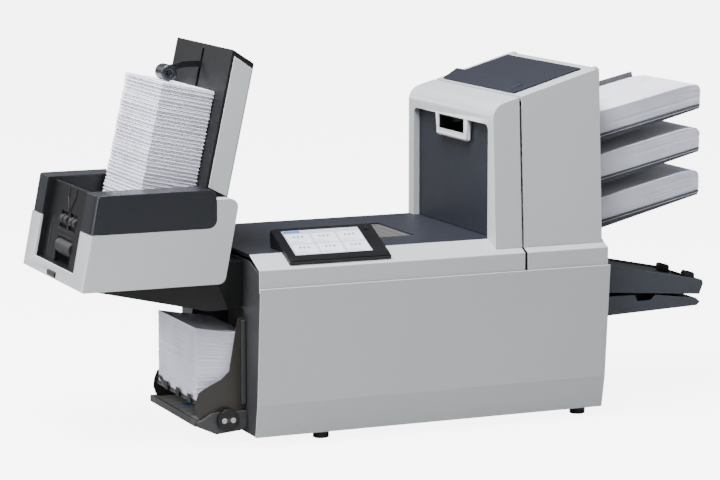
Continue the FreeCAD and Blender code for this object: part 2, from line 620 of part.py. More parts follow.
def make_feeder_housing():
    housing = piece("feeder_housing")
    side = [(left_x("feeder_low"), "feeder_low"), (right_x("feeder_low"), "feeder_low"),
            (right_x("shoulder"), "shoulder"), ("-cap_right + slack", "shoulder"),
            ("-cap_right + slack", "feeder_seam"),
            (left_x("feeder_seam"), "feeder_seam")]
    pad(housing, "XZ", side, "feeder_front", "feeder_width")
    round_edges(housing, "cap_round", (right_x("feeder_low"), None, "feeder_low"),
                (right_x("shoulder"), None, "shoulder"))
    foot_left = stack_point("insert_length + 2", "-slack")
    foot_right = stack_point("0", "-slack")
    cavity = [("-feeder_left - 20", "lip_high"), (f"{foot_left[0]} - 10", "lip_high"), foot_left,
              foot_right,
              (column_x("shoulder + 40"), "shoulder + 40"), ("-feeder_left - 20", "shoulder + 40")]
    pocket(housing, "XZ", cavity, "cavity_front", "cavity_back - cavity_front")
    pocket(housing, "XZ", column_outline("insert_low - 6", "shoulder + 90", "slack"),
           "column_front - slack",
           "column_width + 2 * slack")
    caps = piece("arm_caps")
    side = [(left_x("feeder_seam"), "feeder_seam + slack"), ("-cap_right", "feeder_seam + slack"),
            ("-cap_right", "feeder_high"), (left_x("feeder_high"), "feeder_high")]
    pad(caps, "XZ", side, "feeder_front", "arm_thick")
    pad(caps, "XZ", side, "cavity_back", "arm_thick")
    round_edges(caps, "cap_round", ("-cap_right", None, "feeder_high"),
                ("-cap_right", None, "feeder_seam + slack"))
    pocket(caps, "XZ", column_outline("insert_low - 6", "shoulder + 90", "slack"), "column_front - slack",
           "column_width + 2 * slack")
    slab("release_latch", (f"{left_x('lip_high - 16')} - 3", f"{left_x('lip_high - 16')} + 9"),
                 ("feeder_middle - latch_width / 2", "feeder_middle + latch_width / 2"),
                 ("lip_high - 20", "lip_high - 11"))
    pocket(housing, "YZ", rectangle(("feeder_middle - latch_width / 2 - slack", "lip_high - 20 - slack"),
                                    ("feeder_middle + latch_width / 2 + slack", "lip_high - 11 + slack")),
           "-feeder_left - 10", "36")
    hollow_right = column_x("insert_low", "-8")
    for start, high in (("feeder_front", "feeder_seam"), ("cavity_back", "feeder_seam"),
                        ("cavity_front", "lip_high")):
        inner = [(left_x("feeder_low", "30"), "feeder_low - 5"), (hollow_right, "feeder_low - 5"),
                 (hollow_right, f"{high} - wall"), (left_x(high, "30"), f"{high} - wall")]
        width = "arm_thick" if start != "cavity_front" else "cavity_back - cavity_front"
        pocket(housing, "XZ", inner, f"{start} + wall", f"{width} - 2 * wall")
    for start in ("feeder_front", "cavity_back"):
        inner = [(left_x("feeder_seam", "wall"), "feeder_seam - 5"), (hollow_right, "feeder_seam - 5"),
                 (hollow_right, "feeder_high - wall"),
                 (left_x("feeder_high", "wall"), "feeder_high - wall")]
        pocket(caps, "XZ", inner, f"{start} + wall", "arm_thick - 2 * wall")


def make_gate():
    gate = piece("feeder_gate")
    face = [(left_x("lip_high", "gate_set"), "lip_high + slack"),
            (left_x("lip_high", "gate_set + gate_thick"), "lip_high + slack"),
            (left_x("feeder_high", "gate_set + gate_thick"), "feeder_high - 6"),
            (left_x("feeder_high", "gate_set"), "feeder_high - 6")]
    pad(gate, "XZ", face, "cavity_front + slack", "cavity_back - cavity_front - 2 * slack")
    for offset in (-46, 6):
        pocket(gate, "YZ", rectangle((f"feeder_middle + {offset}", "feeder_seam - 14"),
                                     (f"feeder_middle + {offset} + 40", "feeder_seam + 17")),
               "-feeder_left", "80")
    pocket(gate, "YZ", rectangle(("feeder_middle - drum_length / 2 - 2", "lip_high"),
                                 ("feeder_middle + drum_length / 2 + 2", "drum_height + drum_radius + 2")),
           "-feeder_left", "80")
    drum = piece("pickup_roller")
    centre = (left_x("drum_height", "gate_set + drum_radius - 4"), "drum_height")
    pad_disc(drum, "XZ", centre, "drum_radius", "feeder_middle - drum_length / 2", "drum_length")
    pad_disc(drum, "XZ", centre, "shaft_radius", "cavity_front - wall + slack",
             "cavity_back - cavity_front + 2 * wall - 2 * slack")
    for start in ("cavity_front - wall", "cavity_back"):
        pocket_disc(doc.feeder_housing, "XZ", centre, "shaft_radius + running_gap", start, "wall")


def make_column():
    column = piece("insert_column")
    pad(column, "XZ", column_outline("insert_low", "column_top"), "column_front", "column_width")
    hollow = [(column_x("insert_low - 10", "wall"), "insert_low - 10"),
              (column_x("insert_low - 10", "column_thick - wall"), "insert_low - 10"),
              (column_x("column_top - cap_fall - wall", "column_thick - wall"),
               "column_top - cap_fall - wall - 2"),
              (column_x("column_top - wall", "wall"), "column_top - wall - 2")]
    pocket(column, "XZ", hollow, "column_front + wall", "column_width - 2 * wall")
    slot_low, slot_high = "feeder_high + 20", "arm_height + 28"
    slot = [(column_x(slot_low, "-5"), slot_low), (column_x(slot_low, "wall + 1"), slot_low),
            (column_x(slot_high, "wall + 1"), slot_high), (column_x(slot_high, "-5"), slot_high)]
    pocket(column, "XZ", slot, "feeder_middle - arm_width / 2 - 1", "arm_width + 2")
    panels = piece("column_panels")
    face = [(column_x("feeder_high + slack", "5"), "feeder_high + slack"),
            (column_x("shoulder + slack", "column_thick - 3"), "shoulder + slack"),
            (column_x("column_top - cap_fall - 9", "column_thick - 3"), "column_top - cap_fall - 9"),
            (column_x("column_top - 12", "5"), "column_top - 12")]
    pad(panels, "XZ", face, "column_front - wall", "wall")
    pad(panels, "XZ", face, "column_back", "wall")
    inserts = piece("insert_stack")
    pad(inserts, "XZ", [stack_point("0.5", "0"), stack_point("0.5", "insert_height"),
                        stack_point("insert_length", "insert_height"), stack_point("insert_length", "0")],
        "feeder_middle - insert_width / 2", "insert_width")


def make_follower():
    hub = stack_point("follower_reach", "insert_height + follower_radius + slack")
    arm = piece("follower_arm")
    elbow = (f"{column_x('arm_height')} - 34", "arm_height + 6")
    side = [(column_x("arm_height", "8"), "arm_height - 6"),
            (column_x("arm_height", "8"), "arm_height + 6"),
            (column_x("arm_height", "-6"), "arm_height + 6"), elbow, (f"{hub[0]} - 4", f"{hub[1]} + 5"),
            (f"{hub[0]} - 3", f"{hub[1]} - 5"), (f"{hub[0]} + 5", f"{hub[1]} - 5"),
            (elbow[0], f"{elbow[1]} - 11"),
            (column_x("arm_height", "-6"), "arm_height - 5")]
    pad(arm, "XZ", side, "feeder_middle - arm_width / 2", "arm_width")
    pad(arm, "XZ", rectangle((column_x("arm_height", "8"), "arm_height - 18"),
                             (column_x("arm_height", "24"), "arm_height - 3")),
        "feeder_middle - 14", "28")
    pad_disc(arm, "XZ", hub, "shaft_radius", "feeder_middle - arm_width / 2 - follower_length",
             "follower_length + 1")
    roller = piece("follower_roller")
    pad_disc(roller, "XZ", hub, "follower_radius", "feeder_middle - arm_width / 2 - follower_length",
             "follower_length - 1")
    pocket_disc(roller, "XZ", hub, "shaft_radius + running_gap",
                "feeder_middle - arm_width / 2 - follower_length", "follower_length - 1")
    chin = piece("feeder_bracket")
    side = [(left_x("feeder_low", "26"), "feeder_low - slack"), ("-chin_right", "chin_low"),
            ("-chin_right + 40", "chin_low"),
            ("-feeder_right - 8", "feeder_low - slack")]
    pad(chin, "XZ", side, "feeder_front + chin_inset", "feeder_width - 2 * chin_inset")
    neck_low, neck_high = "chin_low", "deck_height - 16"
    neck = [("-chin_right", neck_low), ("0", neck_low), ("0", neck_high),
            (f"{right_x(neck_high)} + 2", neck_high),
            (f"{right_x('feeder_low')} + 2", "feeder_low - slack"),
            ("-chin_right", "feeder_low - slack")]
    pad(chin, "XZ", neck, "feeder_front + neck_inset", "feeder_width - 2 * neck_inset")
    hollow = [(left_x("feeder_low", "50"), "feeder_low - slack - wall"),
              ("-chin_right", "chin_low + wall + 1"),
              ("0", "chin_low + wall"), ("0", "feeder_low - slack - wall")]
    pocket(chin, "XZ", hollow, "feeder_front + neck_inset + wall",
           "feeder_width - 2 * neck_inset - 2 * wall")


# ---------------------------------------------------------------- catch tray
def make_catch():
    floor_top = "catch_floor + catch_thick"
    floor = piece("catch_floor")
    pad(floor, "XY", rectangle(("-catch_left", "plate_front"), ("-slack", "catch_back")), "catch_floor",
        "catch_thick")
    pad(floor, "XY", rectangle(("-1", "panel_strip + slack"), ("recess_depth - slack", "catch_back")),
        "catch_floor", "4")
    cheek = [("-catch_left + 4", "catch_floor"), ("-60", "foot_height + 4"), ("-14", "foot_height + 8"),
             ("-slack", "catch_floor - 6"), ("-slack", "knob_z + 14"), ("-68", "knob_z + 14"),
             ("-catch_left + 4", "catch_floor + 8")]
    pad(floor, "XZ", cheek, "catch_front + knob_thick", "plate_front - catch_front - knob_thick")
    pad_disc(floor, "XZ", ("knob_x", "knob_z"), "shaft_radius", "catch_front", "knob_thick + 1")
    knob = piece("catch_knob")
    pad_disc(knob, "XZ", ("knob_x", "knob_z"), "knob_radius", "catch_front", "knob_thick - slack")
    pocket_disc(knob, "XZ", ("knob_x", "knob_z"), "shaft_radius + running_gap", "catch_front", "knob_thick")
    plates = piece("catch_plates")
    side = [("-14", "232"), ("-20", "205"), ("-32", "134"), ("-48", "120"), ("-79", "106"), ("-91", "98"),
            ("-97", "84"), ("-99", "69"), ("-95", "56"), ("-90", floor_top), ("-slack", floor_top),
            ("-slack", "232")]
    for start in ("plate_front", "plate_back"):
        pad(plates, "XZ", side, start, "plate_thick")
    lift = piece("lift_platform")
    top = "pile_low - slack"
    pad(lift, "XY", rectangle(("-pile_left - 2", "panel_strip + 1"),
                              ("recess_depth - 34", "plate_back - 6")),
        f"{top} - lift_thick", "lift_thick")
    pile = piece("envelope_pile")
    pad(pile, "XZ", [("-pile_left", "pile_low"), ("-pile_left + pile_length", "pile_low"),
                     ("-pile_left + pile_length", "pile_top - 20"), ("-pile_left + 74", "pile_top - 14"),
                     ("-pile_left", "pile_top")],
        "panel_strip + 1", "pile_width")


def make_button():
    centre = ("tablet_left + tablet_width - button_inset", "tablet_length - button_inset")
    body = doc.addObject("Part::Cylinder", "power_button")
    body.Label = "power_button"
    y, z = tablet_point(centre[1], "tablet_case + tablet_glass + button_travel + 0.3")
    body.setExpression("Radius", ex("button_radius"))
    body.Height = 1
    body.Placement = FreeCAD.Placement(FreeCAD.Vector(), FreeCAD.Rotation(FreeCAD.Vector(1, 0, 0), 24))
    body.setExpression("Placement.Rotation.Angle", ex("chamfer_angle"))
    body.setExpression("Placement.Base.x", ex(f"{centre[0]} - origin_x"))
    body.setExpression("Placement.Base.y", ex(f"{y} - origin_y"))
    body.setExpression("Placement.Base.z", ex(z))
    nodes.append(body)


def make_belt():
    """A belt round the motor's pulley and the lower fold roller's end, as one closed band."""
    ends = [(size("motor_x"), size("motor_z")), (size("fold_x"), size("fold_z"))]
    start, wide = size("frame_back + 2"), size("belt_width")
    reach = math.dist(*ends)
    angle = math.degrees(math.atan2(ends[1][1] - ends[0][1], ends[1][0] - ends[0][0]))

    def band(radius):
        shape = Part.makeBox(reach, wide, 2 * radius, FreeCAD.Vector(0, 0, -radius))
        for x in (0, reach):
            shape = shape.fuse(Part.makeCylinder(radius, wide, FreeCAD.Vector(x, 0, 0),
                                                 FreeCAD.Vector(0, 1, 0)))
        return shape

    inner = size("pulley_radius + 0.05")
    loop = band(inner + size("belt_thick")).cut(band(inner)).removeSplitter()
    loop.rotate(FreeCAD.Vector(), FreeCAD.Vector(0, 1, 0), -angle)
    loop.translate(FreeCAD.Vector(ends[0][0], start, ends[0][1]))
    item = doc.addObject("Part::Feature", "drive_belt")
    item.Label = "drive_belt"
    item.Shape = Part.makeCompound([loop])
    place(item)


# ---------------------------------------------------------------- check and write
def check_and_write():
    doc.recompute()
    box = FreeCAD.BoundBox()
    for item in nodes:
        box.add(item.Shape.BoundBox)
    sheet.set("B1", str(round(box.Center.x, 3)))
    sheet.set("B2", str(round(box.Center.y, 3)))
    doc.recompute()
    for item in doc.Objects:
        if "Invalid" in item.State or "Error" in item.State:
            raise RuntimeError(f"{item.Label} failed: {item.State}")
    for feature in pockets:
        if feature.Shape.Volume > feature.BaseFeature.Shape.Volume - 1:
            raise RuntimeError(f"{feature.Label} cuts nothing")
    for item in nodes:
        if item.Shape.isNull() or not item.Shape.isValid():
            raise RuntimeError(f"{item.Label} has no valid shape")
        item.Shape.exportStep(f"parts/{item.Label}.step")
    print(len(nodes), "nodes", box.XLength, box.YLength, box.ZMax)


fill_sheet()
make_frame()
make_covers()
make_fascia_and_feet()
make_drive()
make_deck()
make_tower()
make_door()
make_feed_wall()
make_sheet_feeders()
make_hopper()
make_feeder_housing()
make_gate()
make_column()
make_follower()
make_catch()
make_button()
make_belt()
check_and_write()
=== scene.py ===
import json
import math
import random

import bmesh
import bpy
from mathutils import Matrix, Vector


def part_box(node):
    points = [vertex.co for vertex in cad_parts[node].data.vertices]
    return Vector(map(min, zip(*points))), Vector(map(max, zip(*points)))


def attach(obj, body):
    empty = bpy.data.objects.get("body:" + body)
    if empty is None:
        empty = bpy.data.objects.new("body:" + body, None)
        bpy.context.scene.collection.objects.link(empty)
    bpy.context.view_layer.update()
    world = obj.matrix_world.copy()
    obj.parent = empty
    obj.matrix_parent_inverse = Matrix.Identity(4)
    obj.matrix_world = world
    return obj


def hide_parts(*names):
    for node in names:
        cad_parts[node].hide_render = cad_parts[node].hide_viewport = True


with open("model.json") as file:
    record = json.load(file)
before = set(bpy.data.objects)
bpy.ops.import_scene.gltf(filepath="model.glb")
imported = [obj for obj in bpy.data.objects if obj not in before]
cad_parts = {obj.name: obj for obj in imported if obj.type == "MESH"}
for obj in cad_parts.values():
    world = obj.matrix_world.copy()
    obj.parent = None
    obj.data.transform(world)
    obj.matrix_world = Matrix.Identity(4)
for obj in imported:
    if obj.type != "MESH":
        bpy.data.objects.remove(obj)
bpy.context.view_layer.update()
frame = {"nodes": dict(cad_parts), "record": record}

# Finishes and fine shapes of a table-top folder-inserter, in metres, in the machine's own frame:
# +X from the insert feeder to the sheet trays, +Y to the rear, +Z up.
MM = 0.001
Y = Vector((0, 1, 0))
BODY_OF = {node: body for body, nodes in frame["record"]["behaviour"]["bodies"].items() for node in nodes}
SLOT_OF = {part["node"]: part["material_slot"] for part in frame["record"]["subparts"]}

FEEDER_LEAN = math.radians(12.4)      # insert column and its stack
TRAY_RISE = math.radians(12.8)        # sheet trays
ROOF_SLOPE = math.radians(16)         # tower roof and lid
END_LEAN = math.radians(11)           # left end of the insert feeder
SCREEN_TILT = math.atan2(23, 50)      # chamfer along the front of the deck
SHEETS_HIGH, END_ROUND = 42 * MM, 18 * MM
INSERT_LONG = 104 * MM                # a folded insert, from the column outwards
LID_THICK, LIP_WIDTH, LIP_RISE = 3 * MM, 34 * MM, 10 * MM
LIP_NEAR, LIP_FALL = -75 * MM, 26 * MM    # where the lip on the lid ends, and how long its round end is
PILE_FALL = 20 * MM                   # how much lower the pile is at its right side
SCREW_ROUND = 3.4                     # millimetres
LEVELS = (1, 2, 3)                    # sheet trays, from the lowest
NOISE_LOW, NOISE_HIGH = 0.3, 0.7      # most of a noise pattern lies between these
GRAIN_DEEP = 0.0002                   # metres, as are the places and lengths below

CAMERA_AT, CAMERA_TO, LENS, SENSOR = (-2.1657, -4.9352, 1.1703), (-0.0481, -0.0071, 0.3391), 143.4, 36
FLOOR_HALF, FLOOR_DROP, FLOOR_GLOW, SKY_GLOW = 12, 0.0005, 6.0, 0.26
LAMPS = (  # name, place, what it points at, power in watts, width, height
    ("overhead", (-1.0, -0.6, 3.1), (0, 0, 0.3), 330, 2.0, 1.4),
    ("left", (-3.4, -0.6, 1.4), (-0.2, 0, 0.35), 58, 1.2, 1.4),
    ("front", (-0.6, -4.2, 1.9), (0.0, 0, 0.3), 26, 2.4, 1.4),
    ("rear", (-2.4, 2.8, 2.2), (0, 0, 0.4), 60, 1.6, 1.2),
    ("right", (3.2, 0.4, 1.6), (0.2, 0, 0.35), 30, 1.2, 1.4),
)


# ---------------------------------------------------------------- materials
def link(tree, source, target):
    tree.links.new(source, target)


def blank_material(name):
    """A material with its Principled shader, and Object coordinates to lay patterns on."""
    material = bpy.data.materials.new(name)
    material.use_nodes = True
    tree = material.node_tree
    shader = tree.nodes["Principled BSDF"]
    place = tree.nodes.new("ShaderNodeTexCoord").outputs["Object"]
    return material, tree, shader, place


def noise(tree, place, scale, detail=3.0, stretch=None):
    """Noise over the object, stretched along an axis where stretch gives three factors."""
    texture = tree.nodes.new("ShaderNodeTexNoise")
    texture.inputs["Scale"].default_value = scale
    texture.inputs["Detail"].default_value = detail
    if stretch:
        mapping = tree.nodes.new("ShaderNodeMapping")
        mapping.inputs["Scale"].default_value = stretch
        link(tree, place, mapping.inputs["Vector"])
        place = mapping.outputs["Vector"]
    link(tree, place, texture.inputs["Vector"])
    return texture.outputs["Fac"]


def between(tree, factor, low, high):
    """A number that runs from low to high with a pattern."""
    span = tree.nodes.new("ShaderNodeMapRange")
    span.inputs["From Min"].default_value = NOISE_LOW
    span.inputs["From Max"].default_value = NOISE_HIGH
    span.inputs["To Min"].default_value = low
    span.inputs["To Max"].default_value = high
    link(tree, factor, span.inputs["Value"])
    return span.outputs["Result"]


def shades(tree, factor, dark, light, low=NOISE_LOW, high=NOISE_HIGH):
    """A colour that runs from dark to light with a pattern."""
    ramp = tree.nodes.new("ShaderNodeValToRGB")
    ramp.color_ramp.elements[0].position = low
    ramp.color_ramp.elements[1].position = high
    ramp.color_ramp.elements[0].color = (*dark, 1)
    ramp.color_ramp.elements[1].color = (*light, 1)
    link(tree, factor, ramp.inputs["Fac"])
    return ramp.outputs["Color"]


def relief(tree, shader, height, strength, distance):
    """Bumps on the shader that follow a pattern."""
    bump = tree.nodes.new("ShaderNodeBump")
    bump.inputs["Strength"].default_value = strength
    bump.inputs["Distance"].default_value = distance
    link(tree, height, bump.inputs["Height"])
    link(tree, bump.outputs["Normal"], shader.inputs["Normal"])


def scaled(colour, factor):
    """A colour made lighter or darker, no channel above one."""
    return tuple(min(1.0, part * factor) for part in colour)


def moulded(name, colour, roughness, grain=1400, spread=0.05, depth=0.12, coat=0.0, shine=0.5):
    """Moulded plastic or paint: faint mottling, a spark-eroded grain and uneven gloss."""
    material, tree, shader, place = blank_material(name)
    broad = noise(tree, place, 7, 4)
    link(tree, shades(tree, broad, scaled(colour, 1 - spread), scaled(colour, 1 + spread)),
         shader.inputs["Base Color"])
    link(tree, between(tree, noise(tree, place, 30, 4), roughness - 0.015, roughness + 0.015),
         shader.inputs["Roughness"])
    relief(tree, shader, noise(tree, place, grain, 2), depth, GRAIN_DEEP)
    shader.inputs["Specular IOR Level"].default_value = shine
    shader.inputs["Coat Weight"].default_value = coat
    shader.inputs["Coat Roughness"].default_value = 0.12
    return material


def metal(name, colour, roughness, stretch, spread=0.08):
    """Rolled sheet metal: long brush marks along one way."""
    material, tree, shader, place = blank_material(name)
    marks = noise(tree, place, 90, 5, stretch)
    link(tree, shades(tree, marks, scaled(colour, 1 - spread), scaled(colour, 1 + spread)),
         shader.inputs["Base Color"])
    link(tree, between(tree, marks, roughness - 0.08, roughness + 0.08), shader.inputs["Roughness"])
    relief(tree, shader, marks, 0.1, GRAIN_DEEP)
    shader.inputs["Metallic"].default_value = 1.0
    return material


def stacked_paper(name, colour, shadow, layers):
    """Paper whose edges show as fine uneven lines, one layer after another; its darker tone is painted
    shade between the sheets.
    """
    material, tree, shader, place = blank_material(name)
    edges = noise(tree, place, 1.0, 2, layers)
    link(tree, shades(tree, edges, shadow, colour, 0.32, 0.6), shader.inputs["Base Color"])
    relief(tree, shader, noise(tree, place, 700, 4), 0.1, GRAIN_DEEP)
    link(tree, between(tree, noise(tree, place, 40), 0.82, 0.92), shader.inputs["Roughness"])
    return material


def rubber_skin(name, colour):
    """Black rubber with a fine ground surface and a bloom of dust."""
    material, tree, shader, place = blank_material(name)
    dust = noise(tree, place, 25, 6)
    link(tree, shades(tree, dust, colour, scaled(colour, 1.9)), shader.inputs["Base Color"])
    link(tree, between(tree, dust, 0.5, 0.7), shader.inputs["Roughness"])
    relief(tree, shader, noise(tree, place, 900, 3), 0.25, 0.0003)
    return material


def lit_page(name, colour, glow):
    """A lit area of the display, with the fine grid of its dots."""
    material, tree, shader, place = blank_material(name)
    dots = noise(tree, place, 2500, 1)
    tone = shades(tree, dots, scaled(colour, 0.94), colour)
    link(tree, tone, shader.inputs["Base Color"])
    link(tree, tone, shader.inputs["Emission Color"])
    shader.inputs["Emission Strength"].default_value = glow
    link(tree, between(tree, noise(tree, place, 50), 0.12, 0.2), shader.inputs["Roughness"])
    return material


def dark_glass(name, colour):
    """Black-backed cover glass with a trace of finger smears."""
    material, tree, shader, place = blank_material(name)
    smears = noise(tree, place, 18, 5, (1, 2, 1))
    link(tree, shades(tree, smears, colour, scaled(colour, 1.6)), shader.inputs["Base Color"])
    link(tree, between(tree, smears, 0.06, 0.14), shader.inputs["Roughness"])
    shader.inputs["Coat Weight"].default_value = 0.1
    shader.inputs["Specular IOR Level"].default_value = 0.2
    return material


SHELL, SLATE, BLACK = (0.41, 0.432, 0.447), (0.0132, 0.0152, 0.0226), (0.005, 0.0052, 0.006)
FINISH = {
    "light_shell": moulded("pale_grey_moulding", SHELL, 0.42, spread=0.012, depth=0.06),
    "dark_panel": moulded("slate_moulding", SLATE, 0.5, spread=0.02, depth=0.06, shine=0.25),
    "black_plastic": moulded("black_moulding", BLACK, 0.36, spread=0.1, depth=0.06, shine=0.35),
    "touch_glass": dark_glass("display_glass", (0.006, 0.006, 0.007)),
    "steel": metal("zinc_plated_sheet", (0.5, 0.5, 0.5), 0.36, (1, 1, 14)),
    "plate_metal": moulded("bronze_grey_paint", (0.024, 0.022, 0.0185), 0.34, spread=0.02, depth=0.02,
                           coat=0.1, shine=0.4),
    "paper": stacked_paper("white_paper", (0.76, 0.765, 0.87), (0.66, 0.66, 0.77), (12, 12, 12)),
    "rubber": rubber_skin("black_rubber", (0.006, 0.006, 0.0065)),
    "guide_grey": moulded("mid_grey_moulding", (0.06, 0.063, 0.068), 0.42),
    "motor_metal": metal("motor_case", (0.45, 0.45, 0.47), 0.42, (1, 12, 1)),
    "board_green": moulded("circuit_board", (0.01, 0.1, 0.035), 0.35, grain=300, spread=0.3),
}
GLOSS_SLATE = moulded("slate_gloss_edge", (0.011, 0.0125, 0.0165), 0.32, spread=0.02, depth=0.02, coat=0.15,
                      shine=0.35)
WINDOW_BEIGE = moulded("beige_grey_moulding", (0.076, 0.075, 0.071), 0.5, spread=0.04)
COLUMN_SLATE = moulded("slate_column", (0.0085, 0.0088, 0.0098), 0.5, spread=0.02, depth=0.06, shine=0.15)
END_SLATE = moulded("slate_end", (0.034, 0.035, 0.038), 0.5, spread=0.02, depth=0.06, shine=0.3)
# The trays' slate is the lightest slate: partly their own tone, partly painted light for the light bounced
# up onto their undersides.
TRAY_SLATE_PAINTED_LIGHT = moulded("slate_tray_painted_light", (0.05, 0.055, 0.069), 0.48, spread=0.02, depth=0.06, shine=0.3)
# The catch floor's liner grey is partly the plate's own grey, partly painted light on the floor that lies
# in shade under the lift.
LINER_GREY_PAINTED_LIGHT = moulded("catch_liner_painted_light", (0.2, 0.2, 0.205), 0.5)
FLOOR_GREY = moulded("catch_floor_grey", (0.035, 0.0355, 0.037), 0.45, spread=0.05)
PAD_BLUE = moulded("blue_pad", (0.03, 0.09, 0.24), 0.5)
LINE_BLACK = moulded("seam_black", (0.006, 0.006, 0.007), 0.6)
TRIM_GREY = moulded("light_trim", (0.34, 0.35, 0.36), 0.4, spread=0.03)
PAGE = lit_page("display_page", (0.42, 0.46, 0.53), 0.25)
PAGE_BAR = lit_page("display_bar", (0.07, 0.16, 0.42), 0.3)
PAGE_CELL = lit_page("display_cell", (0.62, 0.66, 0.72), 0.32)
PAGE_LINE = lit_page("display_line", (0.35, 0.4, 0.48), 0.25)
ICONS = [lit_page("icon_magenta", (0.5, 0.08, 0.26), 0.3), lit_page("icon_grey", (0.2, 0.22, 0.26), 0.3),
         lit_page("icon_teal", (0.05, 0.36, 0.38), 0.3)]


# ---------------------------------------------------------------- mesh tools
def turned(point, angle):
    """A frame at a point, turned about Y: its X leans down by the angle and its Z with it."""
    return Matrix.Translation(point) @ Matrix.Rotation(angle, 4, "Y")


def block(bm, low, high, frame_of=Matrix.Identity(4)):
    """A box between two corners, given in a frame of its own."""
    low, high = Vector(low), Vector(high)
    own = Matrix.Translation((low + high) / 2) @ Matrix.Diagonal((*(high - low), 1))
    return bmesh.ops.create_cube(bm, size=1, matrix=frame_of @ own)["verts"]


def rod(bm, start, end, radius, sides=24, far_radius=None):
    """A round bar, or a cone, from one point to another."""
    run = Vector(end) - Vector(start)
    middle = (Vector(start) + Vector(end)) / 2
    own = Matrix.Translation(middle) @ run.to_track_quat("Z", "Y").to_matrix().to_4x4()
    made = bmesh.ops.create_cone(bm, cap_ends=True, segments=sides, radius1=radius,
                                 radius2=radius if far_radius is None else far_radius, depth=run.length,
                                 matrix=own)
    return made["verts"]


def tile(bm, width, height, thick, corner, frame_of):
    """A flat plate with round corners, its middle on the frame and its thickness along the frame's Z."""
    own = bmesh.new()
    bmesh.ops.create_grid(own, x_segments=1, y_segments=1, size=0.5)
    bmesh.ops.scale(own, vec=(width, height, 1), verts=own.verts)
    if corner:
        bmesh.ops.bevel(own, geom=own.verts[:], offset=corner, segments=6, profile=0.5, affect="VERTICES",
                        material=-1)
    out = bmesh.ops.extrude_face_region(own, geom=own.faces[:])
    raised = [item for item in out["geom"] if isinstance(item, bmesh.types.BMVert)]
    bmesh.ops.translate(own, vec=(0, 0, thick), verts=raised)
    bmesh.ops.transform(own, matrix=frame_of, verts=own.verts)
    join(bm, own)


def join(bm, other):
    """Add another mesh to this one and free it."""
    carrier = bpy.data.meshes.new("carrier")
    other.to_mesh(carrier)
    other.free()
    bm.from_mesh(carrier)
    bpy.data.meshes.remove(carrier)


def copy_of(node):
    """A merged copy of a CAD node's mesh, its flat faces made whole."""
    bm = bmesh.new()
    bm.from_mesh(frame["nodes"][node].data)
    bmesh.ops.remove_doubles(bm, verts=bm.verts, dist=0.00001)
    bmesh.ops.dissolve_limit(bm, angle_limit=math.radians(0.5), verts=bm.verts, edges=bm.edges)
    return bm


def round_where(bm, radius, steps, test):
    """Round the edges whose two ends both pass a test, given in millimetres of the machine's frame."""
    picked = [edge for edge in bm.edges if all(test(*(corner.co / MM)) for corner in edge.verts)]
    bmesh.ops.bevel(bm, geom=picked, offset=radius * MM, segments=steps, profile=0.5, affect="EDGES",
                    material=-1, clamp_overlap=True)


def near(value, *marks, room=0.7):
    """Whether a value is within some room of any of the marks."""
    return any(abs(value - mark) < room for mark in marks)


def outward(bm):
    """Turn every face to the outside."""
    bmesh.ops.recalc_face_normals(bm, faces=bm.faces)


def show(name, bm, body, slot, material=None, replaced=(), edge=0.0, steps=2, crease=35):
    """Make a piece of a mesh: its finish, the body that it rides, and round edges of a given width."""
    mesh = bpy.data.meshes.new(name)
    bm.to_mesh(mesh)
    bm.free()
    mesh.shade_smooth()
    mesh.set_sharp_from_angle(angle=math.radians(crease))
    mesh.materials.append(material or FINISH[slot])
    piece = bpy.data.objects.new(name, mesh)
    bpy.context.scene.collection.objects.link(piece)
    if edge:
        bevel = piece.modifiers.new("round edges", "BEVEL")
        bevel.width = edge * MM
        bevel.segments = steps
        bevel.limit_method = "ANGLE"
        bevel.angle_limit = math.radians(crease)
        bevel.harden_normals = True
    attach(piece, body)
    if replaced:
        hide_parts(*replaced)
    return piece


def dressed(node, edge=1.0, steps=2, material=None):
    """The CAD node's own shape with round edges and its finish."""
    return show(node + "_skin", copy_of(node), BODY_OF[node], SLOT_OF[node], material, (node,), edge, steps)


# ---------------------------------------------------------------- camera, light and floor
def aim(item, target):
    item.rotation_euler = (Vector(target) - item.location).to_track_quat("-Z", "Y").to_euler()


def make_camera():
    """A long lens off the machine's near left corner."""
    camera = bpy.data.objects.new("camera", bpy.data.cameras.new("camera"))
    bpy.context.scene.collection.objects.link(camera)
    camera.location = CAMERA_AT
    camera.data.lens = LENS
    camera.data.sensor_width = SENSOR
    aim(camera, CAMERA_TO)
    bpy.context.scene.camera = camera


def lamp(name, place, target, power, width, height):
    """A soft rectangular lamp that points at a place."""
    light = bpy.data.lights.new(name, "AREA")
    light.shape = "RECTANGLE"
    light.size = width
    light.size_y = height
    light.energy = power
    item = bpy.data.objects.new(name, light)
    bpy.context.scene.collection.objects.link(item)
    item.location = place
    aim(item, target)


